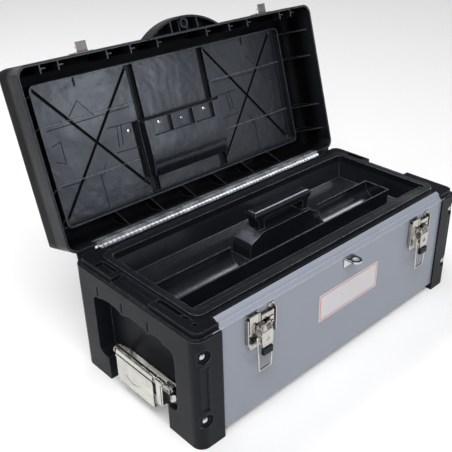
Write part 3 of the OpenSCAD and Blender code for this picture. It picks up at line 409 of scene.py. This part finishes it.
def metal(name, base, rough, round_edge, brush=(420, 2600, 420), scratch=0.35,
          dull=(0.30, 0.29, 0.27), corner_shade=0.0, shade_at=None):
    """Plated or bare metal: fine directional marks, smudged gloss, tarnish, painted shade in
    corners.

    brush is the scale of the marks along each axis, and corner_shade how far the painted shade
    reaches out of a corner. shade_at names a function that gives a mask of more painted shade.
    """
    n = Surface(name)
    n.set("Metallic", 1.0)
    smudge = n.noise(55, 4, 0.65)
    spots = n.rise(n.noise(420, 3, 0.7), 0.60, 0.74)
    darker = tuple(c * 0.80 for c in base)
    plate = n.mix(n.rise(smudge, 0.35, 0.6), darker, base)
    # painted shade in corners, from an ambient occlusion mask
    if corner_shade:
        shade = n.add("ShaderNodeAmbientOcclusion", samples=6, Distance=corner_shade)
        plate = n.mix(n.fall(shade.outputs["AO"], 0.25, 0.85), plate, CORNER_SHADE)
    plate = n.mix(n.times(spots, 0.35), plate, dull)
    # more painted shade where a mask gives it, as at the hinge's knuckle gaps
    if shade_at is not None:
        plate = n.mix(shade_at(n), plate, KNUCKLE_GAP_SHADE)
    n.feed("Base Color", plate)
    lines = n.noise(1.0, 3, 0.6, n.place(brush))
    n.feed("Roughness", n.plus(n.map(smudge, rough - 0.05, rough + 0.1, 0.35, 0.7),
                               n.map(lines, -0.05, 0.06)))
    n.feed("Normal", n.bump(lines, scratch, 0.00003, n.rounded(round_edge)))
    return n.mat


# darkest and lightest shade of the black mouldings, and of the lid, which is a little paler
BLACK = (0.0035, 0.0039, 0.0050), (0.0085, 0.0094, 0.0118)
LID_BLACK = (0.0045, 0.0050, 0.0065), (0.013, 0.0145, 0.018)
M = {
    "paint": paint("case_paint", (0.183, 0.199, 0.236), 0.0010),
    "cap": plastic("cap_plastic", BLACK, rough=0.42, grain=1500, round_edge=0.0016, gloss=0.14,
                   wave=0.0006, marks=cap_marks),
    "rim": plastic("rim_plastic", BLACK, rough=0.34, grain=1500, round_edge=0.0014, gloss=0.11,
                   wave=0.0006),
    "lid": plastic("lid_plastic", LID_BLACK, rough=0.28, grain=1300, round_edge=0.0010, gloss=0.60,
                   wave=0.0022, marks=lid_marks),
    "tray": plastic("tray_plastic", BLACK, rough=0.23, grain=1500, round_edge=0.0018, gloss=0.55,
                    wave=0.0008),
    "handle": plastic("handle_plastic", BLACK, rough=0.42, grain=1800, round_edge=0.0012,
                      gloss=0.5),
    "tip": plastic("tip_plastic", BLACK, rough=0.36, grain=2500, round_edge=0.0007, gloss=0.15),
    "nickel": metal("latch_nickel", (0.56, 0.54, 0.505), rough=0.20, round_edge=0.0003,
                    dull=(0.30, 0.29, 0.26), corner_shade=0.006),
    "cover": metal("cover_nickel", (0.66, 0.645, 0.60), rough=0.24, round_edge=0.0004,
                   brush=(300, 2400, 300), scratch=0.5, corner_shade=0.006),
    "zinc": metal("hinge_zinc", (0.80, 0.83, 0.89), rough=0.36, round_edge=0.0004,
                  brush=(25, 1500, 1500), scratch=0.12, dull=(0.50, 0.53, 0.58),
                  shade_at=knuckle_gap_shade),
    "rivet": metal("rivet_steel", (0.62, 0.63, 0.65), rough=0.24, round_edge=0.0004, corner_shade=0.002),
}

SHOWN = {
    "paint": ("steel_wrap",),
    "cap": ("end_cap_left", "end_cap_right"),
    "rim": ("rim_frame",),
    "lid": ("lid_shell",),
    "tray": ("tote_tray",),
    "handle": ("carry_handle",),
    "tip": ("lever_tip_left", "lever_tip_right"),
    "nickel": ("latch_base_left", "latch_base_right", "lever_left", "lever_right", "bail_left",
               "bail_right", "lid_keepers", "handle_clips"),
    "cover": ("side_bracket_left", "side_bracket_right", "side_cover_left", "side_cover_right",
              "side_hook_left", "side_hook_right"),
    "zinc": ("hinge_case_leaf", "hinge_lid_leaf"),
    "rivet": ("cap_rivets", "hinge_pin", "padlock_eye", "latch_pin_left", "latch_pin_right",
              "latch_rivets", "side_rod_left", "side_rod_right", "keeper_rivets", "lid_rivets"),
}
for key, names in SHOWN.items():
    for name in names:
        materials = NODE[name].data.materials
        materials.clear()
        materials.append(M[key])


# ---------------------------------------------------------------- pieces made here
def new_object(name, bm, mat):
    mesh = bpy.data.meshes.new(name)
    bm.to_mesh(mesh)
    bm.free()
    mesh.materials.append(mat)
    ob = bpy.data.objects.new(name, mesh)
    SCENE.collection.objects.link(ob)
    return ob


def new_piece(name, bm, mat, body):
    """A piece that rides on a body, in the material given."""
    bmesh.ops.recalc_face_normals(bm, faces=bm.faces)
    ob = new_object(name, bm, mat)
    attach(ob, body)


def bridge(bm, ring, other):
    """Faces between two rings of as many points."""
    for k in range(len(ring)):
        j = (k + 1) % len(ring)
        bm.faces.new((ring[k], ring[j], other[j], other[k]))


def rounded_rect(w, h, r, steps=6):
    pts = []
    for cx, cy, start in ((w / 2 - r, h / 2 - r, 0), (-w / 2 + r, h / 2 - r, 90),
                          (-w / 2 + r, -h / 2 + r, 180), (w / 2 - r, -h / 2 + r, 270)):
        for i in range(steps + 1):
            a = math.radians(start + 90 * i / steps)
            pts.append((cx + r * math.cos(a), cy + r * math.sin(a)))
    return pts


def label_material():
    """A blank vinyl label: white, with a plain coloured band printed just inside its edge."""
    n = Surface("blank_label")
    x, _, z = n.split(n.place())
    from_edge = n.least(n.minus(LABEL_W / 2, n.away(x, LABEL_X)),
                        n.minus(LABEL_H / 2, n.away(z, LABEL_Z)))
    band = n.times(n.math("GREATER_THAN", from_edge, 0.0022),
                   n.math("LESS_THAN", from_edge, 0.0036))
    fibre = n.noise(600, 3, 0.6)
    white = n.mix(fibre, (0.49, 0.475, 0.485), (0.54, 0.525, 0.535))
    n.feed("Base Color", n.mix(band, white, LABEL_RED))
    n.set("Coat Weight", 0.2)
    n.set("Coat Roughness", 0.15)
    n.feed("Roughness", n.map(fibre, 0.34, 0.42))
    n.feed("Normal", n.bump(fibre, 0.1, 0.00003))
    return n.mat


def blank_label(thick=0.00025, corner=0.0025):
    """The plate on the front: its face and its edge, on the steel."""
    bm = bmesh.new()
    outline = [(LABEL_X + x, LABEL_Z + z) for x, z in rounded_rect(LABEL_W, LABEL_H, corner)]
    front = [bm.verts.new((x, -STEEL_Y - thick, z)) for x, z in outline]
    back = [bm.verts.new((x, -STEEL_Y, z)) for x, z in outline]
    bm.faces.new(front)
    bridge(bm, back, front)
    new_piece("blank_label", bm, label_material(), "case")


def raised_line(bm, points, width=0.0016, height=0.0010, foot=0.0003):
    """A low moulded line along points on the lid's floor, given in mm.

    Its section is a mound, with a foot sunk in the floor.
    """
    pts = [Vector(p) * MM for p in points]
    section = ((-0.5, -foot), (-0.32, 0.6 * height), (-0.12, height), (0.12, height),
               (0.32, 0.6 * height), (0.5, -foot))
    rings = []
    for i, p in enumerate(pts):
        before = (p - pts[i - 1]).normalized() if i else (pts[1] - p).normalized()
        after = (pts[i + 1] - p).normalized() if i < len(pts) - 1 else before
        side = Vector((-(before.y + after.y), before.x + after.x)).normalized()
        # wider at a corner, so the line keeps its width
        side /= max(0.5, side.dot(Vector((-before.y, before.x))))
        ring = []
        for share, h in section:
            q = p + side * width * share
            ring.append(bm.verts.new(LID_TURN @ Vector((q.x, q.y, LID_FLOOR - h))))
        rings.append(ring)
    for ring, other in zip(rings, rings[1:]):
        bridge(bm, ring, other)
    bm.faces.new(rings[0])
    bm.faces.new(rings[-1])


def lid_moulded_lines():
    """Fine lines moulded in the lid's two bays, and an ejector's ring between them."""
    # in mm, for the bay at +X, and mirrored for the other
    bay = (
        ((238, -34.6), (90, -37.2)),
        ((239, 51.8), (196, 53.0)),
        ((133, 27.5), (88, 29.7)),
        ((176.9, -67.1), (196.2, -46.6)),
        ((236, -10.8), (220.6, -14.8), (220.6, 19.6), (236, 12.5)),
        ((137.7, -13.6), (92.2, -12.4)),
        ((120.5, -12.6), (125.2, 19.9)),
        ((112.9, -12.2), (117.2, 18.8)),
        ((154.6, 36.0), (161.0, 44.0), (162.7, 51.0), (167.4, 56.0), (168.8, 61.0)),
    )
    bm = bmesh.new()
    for line in bay:
        for sign in (-1, 1):
            raised_line(bm, [(sign * x, y) for x, y in line])
    ring_x, ring_y, ring_r = -1, -66, 3.4
    turns = [math.radians(a) for a in range(0, 361, 20)]
    ring = [(ring_x + ring_r * math.cos(a), ring_y + ring_r * math.sin(a)) for a in turns]
    raised_line(bm, ring, width=0.0010, height=0.0006)
    new_piece("lid_moulded_lines", bm, M["lid"], "lid")


def dome(bm, at, axis, radius, height, steps=18):
    """A low domed rivet head standing on at, along axis."""
    turn = axis.to_track_quat("Z", "Y").to_matrix()
    # shares of the radius and of the height, from the foot up
    profile = ((1.0, -0.25), (1.0, 0.12), (0.90, 0.45), (0.68, 0.76), (0.36, 0.94))
    rows = []
    for out, high in profile:
        row = []
        for k in range(steps):
            a = math.tau * k / steps
            p = Vector((radius * out * math.cos(a), radius * out * math.sin(a), height * high))
            row.append(bm.verts.new(at + turn @ p))
        rows.append(row)
    top = bm.verts.new(at + turn @ Vector((0, 0, height)))
    for row, other in zip(rows, rows[1:]):
        bridge(bm, row, other)
    for k in range(steps):
        bm.faces.new((rows[-1][k], rows[-1][(k + 1) % steps], top))
    bm.faces.new(list(reversed(rows[0])))


def hinge_rivets():
    """The seven small rivets along the lid's leaf of the hinge."""
    bm = bmesh.new()
    last = HINGE_LEN / 2 - 0.022
    axis = LID_TURN.to_3x3() @ Vector((0, -1, 0))
    for k in (-3, -2, -1, 0, 1, 2, 3):
        at = LID_TURN @ Vector((last * k / 3, LEAF_Y, LEAF_RIVET_Z))
        dome(bm, at, axis, radius=0.0021, height=0.0008)
    new_piece("hinge_rivets", bm, M["rivet"], "lid")


blank_label()
lid_moulded_lines()
hinge_rivets()

# ---------------------------------------------------------------- camera
# fitted to the photograph, whose side is PHOTO_PX pixels
PHOTO_PX = 452
FOCAL_PX, SHIFT_PX = 696.36, -32.38
CAM_PLACE = Vector((-0.69519, -0.64710, 0.69895))
YAW, PITCH = math.radians(44.837), math.radians(-28.986)
forward = Vector((math.sin(YAW) * math.cos(PITCH), math.cos(YAW) * math.cos(PITCH),
                  math.sin(PITCH)))
right = Vector((math.cos(YAW), -math.sin(YAW), 0))
up = right.cross(forward)
cam = bpy.data.objects.new("camera", bpy.data.cameras.new("camera"))
SCENE.collection.objects.link(cam)
cam.data.sensor_width = 36
cam.data.lens = FOCAL_PX * cam.data.sensor_width / PHOTO_PX
cam.data.shift_x = SHIFT_PX / PHOTO_PX
cam.data.clip_start, cam.data.clip_end = 0.01, 20
facing = Matrix((right, up, -forward)).transposed()
cam.matrix_world = Matrix.Translation(CAM_PLACE) @ facing.to_4x4()
SCENE.camera = cam

# ---------------------------------------------------------------- floor and light
bm = bmesh.new()
bmesh.ops.create_grid(bm, x_segments=8, y_segments=8, size=6)
n = Surface("floor_white")
n.feed("Base Color", n.mix(n.noise(3, 2), (0.93, 0.93, 0.93), (0.95, 0.95, 0.95)))
n.set("Roughness", 0.8)
floor = new_object("floor", bm, n.mat)


def new_light(name, kind, toward, power):
    ob = bpy.data.objects.new(name, bpy.data.lights.new(name, kind))
    SCENE.collection.objects.link(ob)
    ob.rotation_mode = "QUATERNION"
    ob.rotation_quaternion = Vector(toward).to_track_quat("-Z", "Y")
    ob.data.energy = power
    return ob


def area(name, place, target, size, power, only=()):
    """A soft box. only names the CAD nodes that it lights, where it is not for everything."""
    ob = new_light(name, "AREA", Vector(target) - Vector(place), power)
    ob.location = place
    ob.data.shape = "RECTANGLE"
    ob.data.size, ob.data.size_y = size
    if only:
        lit = bpy.data.collections.new(name + "_lit")
        for node in only:
            lit.objects.link(NODE[node])
        ob.light_linking.receiver_collection = lit


HINGE_NODES = ("hinge_case_leaf", "hinge_lid_leaf", "hinge_pin")
EDGED_NODES = ("rim_frame", "tote_tray", "lid_shell", "end_cap_left", "end_cap_right",
               "carry_handle", *HINGE_NODES)
area("key", (-2.0, -1.8, 1.6), (-0.15, -0.05, 0.15), (1.2, 1.0), 21)
area("front_top", (-0.7, -1.1, 2.2), (0, -0.1, 0.15), (1.4, 0.4), 12)
area("top", (-0.3, 1.2, 2.3), (0, 0.0, 0.1), (1.8, 0.4), 21)
area("steel_top", (-0.9, -0.95, 2.3), (-0.1, -0.13, 0.15), (1.4, 0.3), 60, ("steel_wrap",))
area("lid_sheen", (1.36, -2.50, 0.85), (-0.05, 0.2, 0.35), (0.6, 0.6), 9, ("lid_shell",))
area("trough", (1.65, 0.30, 2.0), (-0.1, 0, 0.16), (1.0, 1.0), 32, ("tote_tray",))
area("hinge_top", (1.2, 0.14, 1.8), (0, 0.138, 0.178), (1.6, 0.8), 13, HINGE_NODES)
area("edges", (2.2, -0.55, 1.05), (0, -0.1, 0.18), (0.9, 0.3), 20, EDGED_NODES)
sky = new_light("sky", "SUN", (0.22, 0.34, -0.92), 1.9)
sky.data.angle = math.radians(60)

# the studio round the object, darker up high and to one side for the dark faces to reflect
world = bpy.data.worlds.new("studio")
SCENE.world = world
world.use_nodes = True
n = Nodes(world.node_tree)
side, _, height = n.split(n.add("ShaderNodeTexCoord").outputs["Generated"])
by_height = n.grey_ramp(height, ((0.17, 1.25), (0.33, 0.15)))
by_side = n.grey_ramp(side, ((0.60, 0.9), (0.68, 0.30), (0.74, 0.30), (0.82, 0.8)))
background = world.node_tree.nodes["Background"]
n.link(n.mix(1.0, by_height, by_side, "MULTIPLY"), background.inputs["Color"])
background.inputs["Strength"].default_value = 0.7
SCENE.view_settings.view_transform = "Standard"
SCENE.view_settings.look = "None"
